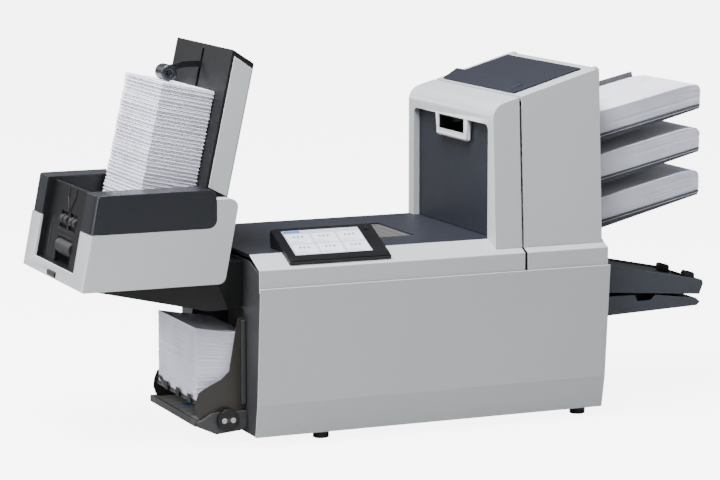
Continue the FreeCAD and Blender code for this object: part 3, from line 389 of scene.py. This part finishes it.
def make_studio():
    """A pale floor that glows to the eye alone, an even sky and the soft lamps."""
    bm = bmesh.new()
    bmesh.ops.create_grid(bm, x_segments=1, y_segments=1, size=FLOOR_HALF)
    mesh = bpy.data.meshes.new("studio_floor")
    bm.to_mesh(mesh)
    bm.free()
    floor = bpy.data.objects.new("studio_floor", mesh)
    bpy.context.scene.collection.objects.link(floor)
    floor.location.z = -FLOOR_DROP
    paint = moulded("pale_floor", (0.38, 0.38, 0.385), 0.8, grain=40, spread=0.01, depth=0.02)
    tree = paint.node_tree
    shader = tree.nodes["Principled BSDF"]
    shader.inputs["Emission Color"].default_value = (1, 1, 1, 1)
    seen = tree.nodes.new("ShaderNodeLightPath").outputs["Is Camera Ray"]
    strength = tree.nodes.new("ShaderNodeMapRange")
    strength.inputs["To Max"].default_value = FLOOR_GLOW
    link(tree, seen, strength.inputs["Value"])
    link(tree, strength.outputs["Result"], shader.inputs["Emission Strength"])
    mesh.materials.append(paint)
    world = bpy.data.worlds.new("studio")
    world.use_nodes = True
    world.node_tree.nodes["Background"].inputs["Color"].default_value = (1, 1, 1, 1)
    world.node_tree.nodes["Background"].inputs["Strength"].default_value = SKY_GLOW
    bpy.context.scene.world = world
    for settings in LAMPS:
        lamp(*settings)


# ---------------------------------------------------------------- loads of paper
def make_sheet_stack(level):
    """Loose sheets on one tray, their far ends hanging over and standing out a little unevenly."""
    count, rows_along, rows_across, seed = 46, 16, 4, 20
    side_room, foot_gap = 1.4, 0.5           # millimetres
    droop, droop_long = 3.2, 34              # how far the top sheet's end hangs, over what length
    end_pull, bulk, waves, wave_share = 0.9, 0.8, 5, 0.4
    node = f"paper_stack_{level}"
    low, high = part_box(node)
    chance = random.Random(seed + level)
    pitch = SHEETS_HIGH / count
    slope, lean = math.cos(TRAY_RISE), math.sin(TRAY_RISE)
    bm = bmesh.new()
    for sheet in range(count):
        up = sheet * pitch
        over = max(0.0, (up - SHEETS_HIGH + END_ROUND) / END_ROUND)
        back = END_ROUND * (1 - math.sqrt(1 - over * over)) * end_pull
        reach = (high.x - low.x + up * lean) / slope - back - chance.uniform(1.2, 3.4) * MM
        side = chance.uniform(-0.45, 0.45) * MM
        flutter, phase = chance.uniform(0.1, 0.9) * MM, chance.uniform(0, 6)
        made = bmesh.ops.create_grid(bm, x_segments=rows_along, y_segments=rows_across, size=0.5)["verts"]
        for corner in made:
            along = (corner.co.x + 0.5) * reach
            across = corner.co.y * (high.y - low.y - side_room * MM) + side
            end = max(0.0, 1 - (reach - along) / (droop_long * MM))
            wave = flutter * math.sin(corner.co.y * waves + phase) * end ** 2
            fall = end ** 2 * droop * MM * (up / SHEETS_HIGH)
            corner.co = Vector((along, across, up - fall + wave * wave_share))
    own = turned(Vector((low.x, 0, low.z + foot_gap * MM)), -TRAY_RISE)
    bmesh.ops.transform(bm, matrix=own, verts=bm.verts)
    outward(bm)
    bmesh.ops.solidify(bm, geom=bm.faces[:], thickness=-pitch * bulk)
    show(f"sheets_{level}", bm, "base", "paper", replaced=(node,), crease=25)


def make_insert_stack():
    """Folded inserts on edge guides, stepped in and out as they were loaded by the handful."""
    count, seed, bulk, most_twist = 88, 7, 0.8, 0.005
    handful, held_of_handful = 13, 5
    side_room, step_out, held_out, step_side = 2.4, 1.7, 1.0, 0.9            # millimetres
    back_share = 0.3
    low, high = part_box("insert_stack")
    chance = random.Random(seed)
    width = INSERT_LONG
    tall = (high.z - low.z - width * math.sin(FEEDER_LEAN)) / math.cos(FEEDER_LEAN)
    foot = Vector((high.x - tall * math.sin(FEEDER_LEAN), (low.y + high.y) / 2, low.z))
    pitch = tall / count
    bm = bmesh.new()
    own = turned(foot, FEEDER_LEAN)
    half = (high.y - low.y) / 2 - side_room * MM
    for insert in range(count):
        odd, held = insert % 2, insert % handful < held_of_handful
        out = (chance.uniform(0, 1.2) + (step_out if odd else 0) + (held_out if held else 0)) * MM
        side = (chance.uniform(-0.7, 0.7) + (step_side if odd else -step_side)) * MM
        start = (-width + out, -half + side, insert * pitch)
        made = block(bm, start, (-out * back_share, half + side, (insert + bulk) * pitch))
        twist = Matrix.Rotation(chance.uniform(-most_twist, most_twist), 4, "Z")
        middle = Matrix.Translation((-width / 2, 0, 0))
        bmesh.ops.transform(bm, matrix=own @ middle @ twist @ middle.inverted(), verts=made)
    show("inserts", bm, "base", "paper", replaced=("insert_stack",), edge=0.5, crease=25)


def make_envelope_pile():
    """Filled envelopes lying on the lift, none quite square to the next, lower at their right side."""
    count, seed, bulk, most_twist = 78, 11, 0.94, 0.003
    room, far_room, most_out = 0.5, 1.9, 1.1                                 # millimetres
    low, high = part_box("envelope_pile")
    chance = random.Random(seed)
    pitch = (high.z - low.z) / count
    bm = bmesh.new()
    for envelope in range(count):
        out, side = chance.uniform(0, most_out) * MM, chance.uniform(0, most_out) * MM
        corner = Vector((low.x + room * MM + out, low.y + room * MM + side, low.z + envelope * pitch))
        far = Vector((high.x - far_room * MM + out, high.y - far_room * MM + side, corner.z + pitch * bulk))
        made = block(bm, corner, far)
        twist = Matrix.Rotation(chance.uniform(-most_twist, most_twist), 4, "Z")
        middle = Matrix.Translation((corner + far) / 2)
        bmesh.ops.transform(bm, matrix=middle @ twist @ middle.inverted(), verts=made)
    for corner in bm.verts:
        fall = PILE_FALL * (corner.co.x - low.x) / (high.x - low.x)
        corner.co.z -= fall * (corner.co.z - low.z) / (high.z - low.z)
    show("envelopes", bm, "lift", "paper", replaced=("envelope_pile",), edge=0.3, steps=1)


# ---------------------------------------------------------------- touch screen
def make_touch_screen():
    """Black glass with a lit page: a tab, and six cells with lines and icons."""
    thick, glass_corner = 1.6 * MM, 9 * MM
    page_left, page_foot, page_wide, page_tall, page_corner = 16 * MM, 17 * MM, 152 * MM, 80 * MM, 0.8 * MM
    layer, top_layer, film = 0.05 * MM, 0.1 * MM, 0.04 * MM
    bar, tab_wide, edge_gap = 9 * MM, 34 * MM, 1 * MM
    rows, columns, gap, row_gap = 2, 3, 5 * MM, 4 * MM
    first_across, first_along, text_in = 3.5 * MM, 3 * MM, 4 * MM
    icon_wide, icon_tall, icon_in, icon_pitch, icon_drop = 4.5 * MM, 6 * MM, 12, 8, 13 * MM
    low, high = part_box("tablet_glass")
    rise = (high.z - low.z - thick * math.cos(SCREEN_TILT)) / math.sin(SCREEN_TILT)
    width = high.x - low.x
    corner = Vector((low.x, low.y + thick * math.sin(SCREEN_TILT), low.z))
    own = Matrix.Translation(corner) @ Matrix.Rotation(SCREEN_TILT, 4, "X")

    def on_glass(across, along, above=0.0):
        return own @ Matrix.Translation((across, along, above))

    glass = bmesh.new()
    tile(glass, width, rise, thick, glass_corner, on_glass(width / 2, rise / 2))
    outward(glass)
    show("screen_glass", glass, "deck", "touch_glass", replaced=("tablet_glass",), edge=0.5)
    skin = thick + layer

    def lit(name, material, parts):
        bm = bmesh.new()
        for across, along, wide, tall, above, corner_round in parts:
            middle = on_glass(page_left + across + wide / 2, page_foot + along + tall / 2, skin + above)
            tile(bm, wide, tall, film, corner_round, middle)
        outward(bm)
        show(name, bm, "deck", "touch_glass", material)

    lit("screen_page", PAGE, [(0, 0, page_wide, page_tall, 0, page_corner)])
    lit("screen_bar", PAGE_BAR, [(edge_gap, page_tall - bar, tab_wide, bar - edge_gap, layer, edge_gap)])
    cell_wide, cell_tall = page_wide / columns - gap, (page_tall - bar) / rows - gap
    cells, lines, icons = [], [], ([], [], [])
    for row in range(rows):
        for column in range(columns):
            across = first_across + column * (cell_wide + gap)
            along = first_along + row * (cell_tall + row_gap)
            cells.append((across, along, cell_wide, cell_tall, layer, 1.5 * MM))
            for up, share, tall in ((3, 0.55, 1.6), (6.5, 0.35, 1.2)):
                lines.append((across + text_in, along + up * MM, cell_wide * share, tall * MM, top_layer,
                              0))
            for mark in range(3):
                place = (across + (icon_in + mark * icon_pitch) * MM, along + cell_tall - icon_drop)
                icons[(mark + column + row) % 3].append((*place, icon_wide, icon_tall, top_layer, 1 * MM))
    lines.append((page_wide - 30 * MM, page_tall - 6 * MM, 22 * MM, 2 * MM, layer, 0))
    lit("screen_cells", PAGE_CELL, cells)
    lit("screen_lines", PAGE_LINE, lines)
    for kind, (marks, material) in enumerate(zip(icons, ICONS)):
        lit(f"screen_icons_{kind + 1}", material, marks)


# ---------------------------------------------------------------- shells with large round edges
def make_door():
    """Light door frame with a round window and a tab that holds the black handle cup."""
    window_round, tab_round, cup_round, front_round = 12, 7, 5, 9            # millimetres
    face_deep, near_side, far_side, head = 16, 37, 25, 6
    tab_side, tab_drop, front_deep, front_top = 14.5, 15.5, 22, 25
    low, high = (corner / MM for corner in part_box("door_shell"))
    cup_low, cup_high = (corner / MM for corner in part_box("door_handle"))
    panel_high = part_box("door_panel")[1] / MM
    window = (low.y + near_side, high.y - far_side, panel_high.z - head)
    tab = (cup_low.y - tab_side, cup_high.y + tab_side, cup_low.z - tab_drop)

    def at_window(x, y, z):
        return x < low.x + face_deep and near(y, window[0], window[1]) and near(z, window[2], room=1.5)

    def at_tab(x, y, z):
        beside = near(y, tab[0], tab[1], room=1.5)
        return x < low.x + face_deep and beside and near(z, tab[2], window[2], room=1.5)

    def at_cup(x, y, z):
        beside = near(y, cup_low.y, cup_high.y, room=2.5)
        return x < low.x + face_deep and beside and near(z, cup_low.z, cup_high.z, room=2.5)

    def at_front(x, y, z):
        return near(x, low.x) and y < low.y + front_deep and z < high.z - front_top

    bm = copy_of("door_shell")
    round_where(bm, window_round, 6, at_window)
    round_where(bm, tab_round, 5, at_tab)
    round_where(bm, cup_round, 5, at_cup)
    round_where(bm, front_round, 6, at_front)
    show("door_frame", bm, "door", "light_shell", replaced=("door_shell",), edge=1.2)


def end_x(z):
    """Where the feeder's leaning left end is at a height, in millimetres."""
    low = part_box("feeder_housing")[0] / MM
    return low.x + (z - low.z) * math.tan(END_LEAN)


def make_feeder_shells():
    """Light housing and its two dark arm caps, soft at the corners of the end and round the caps."""
    end_round, cap_round, steps = 16, 17, 6                                  # millimetres
    low, high = (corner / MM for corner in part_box("feeder_housing"))
    cap_low, cap_high = (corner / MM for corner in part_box("arm_caps"))

    def housing_end(x, y, z):
        return near(x, end_x(z)) and near(y, low.y, high.y) and z < cap_low.z + 1

    def shoulder(x, y, z):
        return near(x, cap_high.x, room=1.2) and near(z, cap_low.z, room=1.2)

    def caps_end(x, y, z):
        return near(x, end_x(z)) and near(y, cap_low.y, cap_high.y)

    def caps_right(x, y, z):
        return near(x, cap_high.x) and near(z, cap_low.z, cap_high.z)

    bm = copy_of("feeder_housing")
    round_where(bm, end_round, steps, housing_end)
    round_where(bm, cap_round, steps, shoulder)
    show("feeder_shell", bm, "base", "light_shell", replaced=("feeder_housing",), edge=1.6)
    caps = copy_of("arm_caps")
    round_where(caps, end_round, steps, caps_end)
    round_where(caps, cap_round, steps, caps_right)
    show("arm_shells", caps, "base", "dark_panel", GLOSS_SLATE, ("arm_caps",), edge=2.2, steps=3)


def make_feeder_mouth():
    """Black lining of the feeder's mouth, raised lines on its gate and wheels in the gate's windows."""
    skin, gate_set, line_set, slot_set = 0.3 * MM, 14.0, 9 * MM, 9.4 * MM
    line = ((21, 464), (19, 446), (5, 426), (4, 420))        # how far from the middle, and how high
    wheel_high, wheel_back, wheel_round, wheel_half = 403, 20, 9, 7
    bars, bar_half, bar_tall = (376, 384), 46, 1.2
    slot_far, slot_near, slot_low, slot_high = 30, 25, 12, 62
    gate_low, gate_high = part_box("feeder_gate")
    front, rear = gate_low.y - 0.4 * MM, gate_high.y + 0.4 * MM
    middle, sill = (gate_low.y + gate_high.y) / 2 / MM, gate_low.z - 0.45 * MM
    top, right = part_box("arm_caps")[1].z - 2 * MM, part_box("insert_column")[0].x
    lean = Matrix.Identity(4)
    lean[0][2] = math.tan(END_LEAN)
    start = Vector(((end_x(sill / MM) + 4) * MM, 0, sill))
    own = Matrix.Translation(start) @ lean
    bm = bmesh.new()
    for side in (front, rear - skin):
        block(bm, (0, side, 0), (right - start.x, side + skin, top - sill), own)
    block(bm, (0, front, 0), (right - start.x, rear, skin), own)
    outward(bm)
    show("feeder_lining", bm, "base", "black_plastic")
    ribs, wheels = bmesh.new(), bmesh.new()
    face = gate_set - 0.2
    for hand in (-1, 1):
        path = [Vector((end_x(z) + face, middle + hand * y, z)) * MM for y, z in line]
        for one, two in zip(path, path[1:]):
            rod(ribs, one, two, 0.9 * MM, 8)
        for across in (15, 37):
            hub = Vector((end_x(wheel_high) + wheel_back, middle + hand * across, wheel_high)) * MM
            rod(wheels, hub - wheel_half * MM * Y, hub + wheel_half * MM * Y, wheel_round * MM, 24)
    for up in bars:
        block(ribs, (0, (middle - bar_half) * MM, up * MM - sill),
              (1 * MM, (middle + bar_half) * MM, (up + bar_tall) * MM - sill),
              Matrix.Translation((line_set, 0, 0)) @ own)
    block(ribs, (0, rear - slot_far * MM, slot_low * MM), (1.2 * MM, rear - slot_near * MM, slot_high * MM),
          Matrix.Translation((slot_set, 0, 0)) @ own)
    outward(ribs)
    outward(wheels)
    show("gate_ribs", ribs, "base", "black_plastic", LINE_BLACK, edge=0.2, steps=1)
    show("gate_wheels", wheels, "base", "rubber", LINE_BLACK, edge=1.5, steps=3)
    dressed("feeder_gate", 0.9)


def make_deck_window():
    """Beige-grey plate sunk in the deck, with ribs that the envelopes slide on."""
    low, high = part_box("deck_plate")
    sunk, gap, thick = 4 * MM, 1.5 * MM, 1.2 * MM
    ribs, rib_pitch, rib_wide, rib_inset = 9, 18, 2.4 * MM, 8 * MM
    left, front, right, back = low.x + 190 * MM, low.y + 94.5 * MM, low.x + 372 * MM, low.y + 266.5 * MM
    floor = high.z - sunk
    bm = bmesh.new()
    block(bm, (left + gap, front + gap, floor), (right - gap, back - gap, floor + thick))
    for rib in range(ribs):
        at = left + (rib_pitch + rib * rib_pitch) * MM
        block(bm, (at, front + rib_inset, floor + 1 * MM),
              (at + rib_wide, back - rib_inset, floor + 2.4 * MM))
    outward(bm)
    show("deck_window", bm, "deck", "dark_panel", WINDOW_BEIGE, edge=0.5)


def make_tray_trim():
    """Bracket posts and a strip on the feed wall, and a light line along each tray's edge."""
    post_deep, post_wide, post_below, post_above = 20 * MM, 9 * MM, 6 * MM, 26 * MM
    edge_high, end_gap = 14.4 * MM, 4 * MM
    strip_front, strip_back, strip_thick, strip_short = -0.106, -0.09, 3 * MM, 70 * MM
    posts, lines = bmesh.new(), bmesh.new()
    for level in LEVELS:
        low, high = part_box(f"sheet_tray_{level}")
        for side in (low.y - 1 * MM, high.y - post_deep):
            block(posts, (low.x, side, low.z - post_below),
                  (low.x + post_wide, side + post_deep, low.z + post_above))
        own = turned(Vector((low.x, low.y, low.z + edge_high)), -TRAY_RISE)
        long = (high.x - low.x) / math.cos(TRAY_RISE) - end_gap
        block(lines, (end_gap, -0.7 * MM, -3.4 * MM), (long, 0.6 * MM, -2.2 * MM), own)
    wall_low, wall_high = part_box("feed_wall")
    block(posts, (wall_high.x - 0.2 * MM, strip_front, wall_low.z),
          (wall_high.x + strip_thick, strip_back, wall_high.z - strip_short))
    outward(posts)
    outward(lines)
    show("tray_brackets", posts, "base", "dark_panel", edge=2.0, steps=3)
    show("tray_edge_lines", lines, "base", "guide_grey", TRIM_GREY, edge=0.2, steps=1)


def make_roof_hinges():
    """Two small knuckles that the lid turns on, at the high end of the roof."""
    shell_low, shell_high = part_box("tower_shell")
    wide, inset, near_inset, far_inset = 12 * MM, 9 * MM, 22 * MM, 34 * MM
    bm = bmesh.new()
    for across in (shell_low.y + near_inset, shell_high.y - far_inset):
        block(bm, (shell_high.x - inset, across, shell_high.z - inset),
              (shell_high.x - 2 * MM, across + wide, shell_high.z + 3 * MM))
    outward(bm)
    show("roof_knuckles", bm, "base", "light_shell", edge=2.0, steps=3)


def make_lid_lip():
    """Near end of the lid's raised lip, which falls to the lid in a quarter round."""
    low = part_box("top_lid")[0]
    ridge, crest, steps, sides, thinnest = low.x + LIP_WIDTH, 5 * MM, 10, 4, 0.02

    def over(x, rise):
        return low.z + (x - low.x) * math.tan(ROOF_SLOPE) + LID_THICK + rise

    bm, rows = bmesh.new(), []
    for step in range(steps + 1):
        turn = math.pi / 2 * step / steps
        along, part = LIP_NEAR - LIP_FALL * math.sin(turn), max(math.cos(turn), thinnest)
        section = ((low.x + 0.2 * MM, over(low.x, 0)), (ridge, over(ridge, 0)),
                   (ridge, over(ridge, (LIP_RISE - 3 * MM) * part)),
                   (ridge - crest, over(ridge - crest, (LIP_RISE - 0.6 * MM) * part)))
        rows.append([bm.verts.new((x, along, z)) for x, z in section])
    for one, two in zip(rows, rows[1:]):
        for k in range(sides):
            bm.faces.new((one[k], one[(k + 1) % sides], two[(k + 1) % sides], two[k]))
    bm.faces.new(rows[0])
    bm.faces.new(rows[-1][::-1])
    outward(bm)
    show("lid_lip_end", bm, "lid", "dark_panel")


def make_catch_fittings():
    """Bolts on the knob; pad, liner, ribs, rod and post of the catch tray; hook and fingers of the lift."""
    bolt_side, bolt_round = 8.5, 5                                           # millimetres
    ribs_count, rib_first, rib_pitch, rib_wide = 7, 30, 31, 3
    finger_places, finger_half, finger_thick = (26, 88, 150), 8, 2.6
    hook_line, hook_round = ((2.8, 16, 12), (3.0, 30, 6), (3.2, 46, 2), (3.4, 62, -3)), 2.6
    low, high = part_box("catch_floor")
    knob_low, knob_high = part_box("catch_knob")
    pile_low, pile_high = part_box("envelope_pile")
    plate_low, plate_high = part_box("catch_plates")
    hub = (knob_low + knob_high) / 2
    floor = low.z + 29 * MM
    bolts = bmesh.new()
    for side in (-bolt_side, bolt_side):
        front = Vector((hub.x + side * MM, knob_low.y - 0.9 * MM, hub.z))
        rod(bolts, front, front + Y * 2 * MM, bolt_round * MM, 20)
    outward(bolts)
    show("knob_bolts", bolts, "knob", "steel", TRIM_GREY, edge=0.5)
    pad = bmesh.new()
    block(pad, (low.x + 26 * MM, low.y + 140 * MM, floor),
          (low.x + 52 * MM, low.y + 166 * MM, floor + 0.42 * MM))
    outward(pad)
    show("catch_pad", pad, "base", "black_plastic", PAD_BLUE)
    # The liner's light grey is partly painted light on the shaded catch floor.
    liner = bmesh.new()
    block(liner, (low.x + 5 * MM, low.y + 18 * MM, floor + 0.1 * MM),
          (low.x + 112 * MM, high.y - 8 * MM, floor + 0.3 * MM))
    outward(liner)
    show("catch_liner", liner, "base", "guide_grey", LINER_GREY_PAINTED_LIGHT)
    hook = bmesh.new()
    bend = [Vector((pile_low.x - out * MM, pile_high.y - back * MM, pile_low.z + up * MM))
            for out, back, up in hook_line]
    for one, two in zip(bend, bend[1:]):
        rod(hook, one, two, hook_round * MM, 12)
    outward(hook)
    show("pile_hook", hook, "lift", "black_plastic", edge=0.4)
    post = bmesh.new()
    block(post, (plate_high.x - 9 * MM, plate_low.y - 6.5 * MM, knob_high.z + 5 * MM),
          (plate_high.x - 1 * MM, plate_low.y - 0.3 * MM, plate_high.z - 4 * MM))
    outward(post)
    show("catch_post", post, "base", "dark_panel", END_SLATE, edge=1.6, steps=3)
    fingers = bmesh.new()
    for along in finger_places:
        at = pile_low.y + along * MM
        foot = Vector((pile_low.x - 3.2 * MM, at, pile_low.z - 5 * MM))
        block(fingers, foot - Vector((finger_thick, finger_half, 0)) * MM,
              foot + Vector((0, finger_half, 15)) * MM)
        block(fingers, foot - Vector((finger_thick, finger_half, 1)) * MM,
              foot + Vector((9, finger_half, 1.5)) * MM)
    outward(fingers)
    show("pile_fingers", fingers, "lift", "rubber", edge=1.2, steps=3)
    ribs = bmesh.new()
    for rib in range(ribs_count):
        at = low.y + (rib_first + rib * rib_pitch) * MM
        block(ribs, (low.x + 2 * MM, at, floor - 1 * MM),
              (low.x + 120 * MM, at + rib_wide * MM, floor + 0.36 * MM))
    block(ribs, (low.x + 0.5 * MM, low.y + 18 * MM, floor - 1 * MM),
          (low.x + 4 * MM, high.y - 6 * MM, floor + 0.38 * MM))
    outward(ribs)
    show("catch_ribs", ribs, "base", "guide_grey", FLOOR_GREY)
    bars = bmesh.new()
    side = low.y + 18 * MM
    rod(bars, Vector((low.x + 16 * MM, side, floor + 3 * MM)),
        Vector((low.x + 70 * MM, side, floor + 3 * MM)), 2 * MM)
    outward(bars)
    show("catch_rods", bars, "base", "steel", edge=0.4, steps=1)


def screw(bm, head, out):
    """The domed head of a cover screw."""
    start = Vector(head)
    rod(bm, start, start + Vector(out) * 1.2 * MM, SCREW_ROUND * MM, 20, SCREW_ROUND * 0.72 * MM)


def make_rear_details():
    """Two banks of vents with a black sheet of painted shade behind them, and six screws, in the rear
    cover.
    """
    vent_lefts, vents, vent_wide, vent_tall, vent_first, vent_pitch = (70, 210), 12, 110, 5, 60, 11
    screw_places, screw_heights = (12, 350, 698), (22, 300)
    low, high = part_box("rear_cover")
    skin = high.y
    bm = copy_of("rear_cover")
    cutter = bmesh.new()
    for left in vent_lefts:
        at = low.x + left * MM
        for slot in range(vents):
            foot = low.z + (vent_first + slot * vent_pitch) * MM
            block(cutter, (at, skin - 2.2 * MM, foot),
                  (at + vent_wide * MM, skin + 2 * MM, foot + vent_tall * MM))
    outward(cutter)
    carve(bm, cutter)
    show("rear_skin", bm, "base", "light_shell", replaced=("rear_cover",), edge=0.6)
    # A black sheet just behind the slots, painted shade for the inside of the vents.
    dark = bmesh.new()
    for left in vent_lefts:
        block(dark, (low.x + (left - 1) * MM, skin - 2.5 * MM, low.z + 58 * MM),
              (low.x + (left + vent_wide + 1) * MM, skin - 2.1 * MM, low.z + 188 * MM))
    outward(dark)
    show("vent_painted_shade", dark, "base", "black_plastic", LINE_BLACK)
    screws = bmesh.new()
    for across in screw_places:
        for up in screw_heights:
            screw(screws, (low.x + across * MM, skin - 1.25 * MM, low.z + up * MM), Y)
    outward(screws)
    show("cover_screws", screws, "base", "steel", edge=0.3, steps=1)


def carve(bm, cutter):
    """Cut one mesh out of another."""
    body, tool = (bpy.data.objects.new(name, bpy.data.meshes.new(name)) for name in ("carved", "carver"))
    bm.to_mesh(body.data)
    cutter.to_mesh(tool.data)
    cutter.free()
    for item in (body, tool):
        bpy.context.scene.collection.objects.link(item)
    cut = body.modifiers.new("cut", "BOOLEAN")
    cut.object = tool
    cut.operation = "DIFFERENCE"
    cut.solver = "EXACT"
    done = bpy.data.meshes.new_from_object(body.evaluated_get(bpy.context.evaluated_depsgraph_get()))
    bm.clear()
    bm.from_mesh(done)
    bpy.data.meshes.remove(done)
    for item in (body, tool):
        mesh = item.data
        bpy.data.objects.remove(item)
        bpy.data.meshes.remove(mesh)


make_camera()
make_studio()
for level in LEVELS:
    make_sheet_stack(level)
make_insert_stack()
make_envelope_pile()
make_touch_screen()
make_door()
make_feeder_shells()
make_feeder_mouth()
make_deck_window()
make_tray_trim()
make_roof_hinges()
make_lid_lip()
make_catch_fittings()
make_rear_details()

SKINS = {  # node: width of its round edges in millimetres
    "front_cover": 1.6, "right_fascia": 1.5, "deck_fascia": 1.5, "deck_plate": 0.8,
    "tower_shell": 1.4, "door_panel": 0.3, "door_handle": 1.6, "top_lid": 1.0,
    "insert_column": 1.4, "column_panels": 0.9, "feeder_bracket": 2.0,
    "left_end_panel": 1.0, "right_end_panel": 0.8, "tablet_case": 1.2, "feed_wall": 0.6,
    "sheet_tray_1": 0.9, "sheet_tray_2": 0.9, "sheet_tray_3": 0.9, "tray_guide_1": 0.8, "tray_guide_2": 0.8,
    "tray_guide_3": 0.8, "hopper_body": 1.2, "divert_tray": 0.9, "hopper_guide_front": 1.5,
    "hopper_guide_rear": 1.5, "follower_arm": 1.4, "follower_roller": 4.5, "release_latch": 0.8,
    "catch_plates": 0.5, "catch_floor": 0.8, "catch_knob": 1.2, "lift_platform": 0.8, "feet": 1.4,
    "power_inlet": 0.7, "pickup_roller": 0.8, "power_button": 0.2, "feed_cheeks": 0.4,
    "feed_roller_1": 0.6, "feed_roller_2": 0.6, "feed_roller_3": 0.6, "bottom_pan": 0.4,
    "front_frame": 0.3, "rear_frame": 0.3, "fold_roller_lower": 0.6, "fold_roller_upper": 0.6,
    "drive_motor": 0.8, "power_supply": 0.8, "control_board": 0.3, "drive_belt": 0.3,
}
OTHER_FINISH = {  # node: steps of its round edges, and its own finish
    "follower_roller": (5, GLOSS_SLATE), "feeder_bracket": (3, FINISH["black_plastic"]),
    "insert_column": (2, COLUMN_SLATE), "left_end_panel": (2, END_SLATE),
    "hopper_body": (2, TRAY_SLATE_PAINTED_LIGHT), "divert_tray": (2, TRAY_SLATE_PAINTED_LIGHT), "catch_floor": (2, FLOOR_GREY),
    "tablet_case": (2, FINISH["black_plastic"]), "sheet_tray_1": (2, TRAY_SLATE_PAINTED_LIGHT),
    "sheet_tray_2": (2, TRAY_SLATE_PAINTED_LIGHT), "sheet_tray_3": (2, TRAY_SLATE_PAINTED_LIGHT),
}
for node, width in SKINS.items():
    steps, material = OTHER_FINISH.get(node, (2, None))
    dressed(node, width, steps, material)
